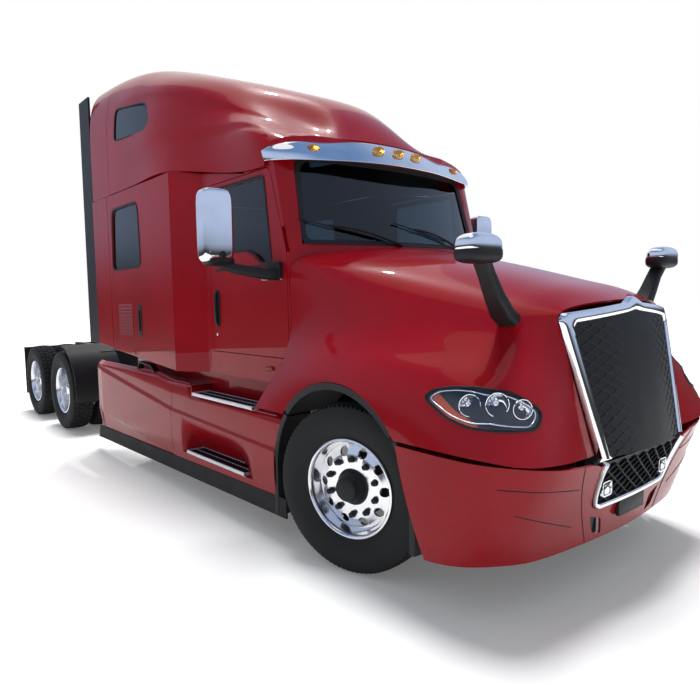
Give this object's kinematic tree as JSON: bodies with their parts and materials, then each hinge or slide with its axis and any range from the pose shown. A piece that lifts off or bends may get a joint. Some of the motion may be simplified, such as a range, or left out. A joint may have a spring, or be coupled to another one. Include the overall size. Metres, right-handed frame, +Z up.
{
  "type": "semi truck tractor unit",
  "caption": "Conventional sleeper tractor unit with three axles, twin drive tyres, tilting hood, high roof fairing, full side fairings and a fifth wheel.",
  "frame": {"origin": "on the ground, under the middle of the bounding box", "axes": "+Z up, +X to the truck's left, +Y to its rear: it faces -Y"},
  "size_m": [3.08, 8.7371, 3.9849],
  "materials": {
    "black_steel": "satin",
    "aluminium": "satin",
    "cast_iron": "matt",
    "red_paint": "gloss",
    "rubber": "matt",
    "black_plastic": "matt",
    "chrome": "polished",
    "tinted_glass": "polished",
    "lamp_glass": "polished",
    "amber": "polished",
    "red_lens": "polished",
    "fabric": "matt",
    "wheel_rim_plastic": "satin",
    "tyre": "matt",
    "polished_aluminium": "polished"
  },
  "bodies": {
    "chassis": {"frame": "black_steel", "engine": "cast_iron", "radiator": "cast_iron", "front_axle": "black_steel", "drive_axles": "black_steel", "fuel_tanks": "aluminium", "fairings": "red_paint", "steps": "aluminium", "skirts": "rubber", "cab": "red_paint", "windscreen": "tinted_glass", "sleeper": "red_paint", "sleeper_glass": "tinted_glass", "roof_fairing": "red_paint", "side_extenders": "red_paint", "extender_edges": "black_plastic", "bumper": "red_paint", "lower_grille": "black_plastic", "fog_lamps": "lamp_glass", "visor": "chrome", "marker_lamps": "amber", "quarter_fenders": "black_plastic", "mud_flaps": "rubber", "tail_lamps": "red_lens", "dash": "black_plastic", "seats": "fabric", "bunk": "fabric", "steering_wheel": "wheel_rim_plastic", "fifth_wheel_base": "black_steel"},
    "hood": {"hood": "red_paint", "headlamps": "lamp_glass", "wheel_liners": "black_plastic", "grille_surround": "chrome", "grille": "black_plastic", "hood_mirrors": "chrome"},
    "fifth_wheel": {"fifth_wheel": "black_steel"},
    "door_left": {"door_left": "red_paint", "door_glass_left": "tinted_glass", "door_mirror_left": "chrome"},
    "knuckle_left": {"knuckle_left": "cast_iron"},
    "front_wheel_left": {"front_tyre_left": "tyre", "front_rim_left": "polished_aluminium"},
    "drive_wheel_first_left": {"drive_tyres_first_left": "tyre", "drive_rims_first_left": "polished_aluminium"},
    "drive_wheel_second_left": {"drive_tyres_second_left": "tyre", "drive_rims_second_left": "polished_aluminium"},
    "door_right": {"door_right": "red_paint", "door_glass_right": "tinted_glass", "door_mirror_right": "chrome"},
    "knuckle_right": {"knuckle_right": "cast_iron"},
    "front_wheel_right": {"front_tyre_right": "tyre", "front_rim_right": "polished_aluminium"},
    "drive_wheel_first_right": {"drive_tyres_first_right": "tyre", "drive_rims_first_right": "polished_aluminium"},
    "drive_wheel_second_right": {"drive_tyres_second_right": "tyre", "drive_rims_second_right": "polished_aluminium"}
  },
  "joints": [
    {"name": "hood_tilt", "type": "hinge", "parent": "chassis", "child": "hood", "pos_m": [0, -4.185, 0.5], "axis": [1, 0, 0], "range_deg": [0, 60]},
    {"name": "door_left_swing", "type": "hinge", "parent": "chassis", "child": "door_left", "pos_m": [1.017, -2.418, 1.25], "axis": [0, 0, -1], "range_deg": [0, 65]},
    {"name": "door_right_swing", "type": "hinge", "parent": "chassis", "child": "door_right", "pos_m": [-1.017, -2.418, 1.25], "axis": [0, 0, 1], "range_deg": [0, 65]},
    {"name": "steer_left", "type": "hinge", "parent": "chassis", "child": "knuckle_left", "pos_m": [0.9, -3.085, 0.51], "axis": [0, 0, 1], "range_deg": [-49, 21]},
    {"name": "steer_right", "type": "hinge", "parent": "chassis", "child": "knuckle_right", "pos_m": [-0.9, -3.085, 0.51], "axis": [0, 0, 1], "range_deg": [-49, 21]},
    {"name": "front_spin_left", "type": "hinge", "parent": "knuckle_left", "child": "front_wheel_left", "pos_m": [0.9, -3.085, 0.51], "axis": [0.9703, 0.2419, 0], "continuous": true},
    {"name": "front_spin_right", "type": "hinge", "parent": "knuckle_right", "child": "front_wheel_right", "pos_m": [-0.9, -3.085, 0.51], "axis": [0.9703, 0.2419, 0], "continuous": true},
    {"name": "drive_spin_first_left", "type": "hinge", "parent": "chassis", "child": "drive_wheel_first_left", "pos_m": [0.9, 2.367, 0.51], "axis": [1, 0, 0], "continuous": true},
    {"name": "drive_spin_first_right", "type": "hinge", "parent": "chassis", "child": "drive_wheel_first_right", "pos_m": [-0.9, 2.367, 0.51], "axis": [1, 0, 0], "continuous": true},
    {"name": "drive_spin_second_left", "type": "hinge", "parent": "chassis", "child": "drive_wheel_second_left", "pos_m": [0.9, 3.687, 0.51], "axis": [1, 0, 0], "continuous": true},
    {"name": "drive_spin_second_right", "type": "hinge", "parent": "chassis", "child": "drive_wheel_second_right", "pos_m": [-0.9, 3.687, 0.51], "axis": [1, 0, 0], "continuous": true},
    {"name": "fifth_wheel_tilt", "type": "hinge", "parent": "chassis", "child": "fifth_wheel", "pos_m": [0, 2.915, 1.095], "axis": [1, 0, 0], "range_deg": [-8, 8]}
  ],
  "couplings": [
    {"joint": "steer_right", "follows": "steer_left", "ratio": 1}
  ]
}
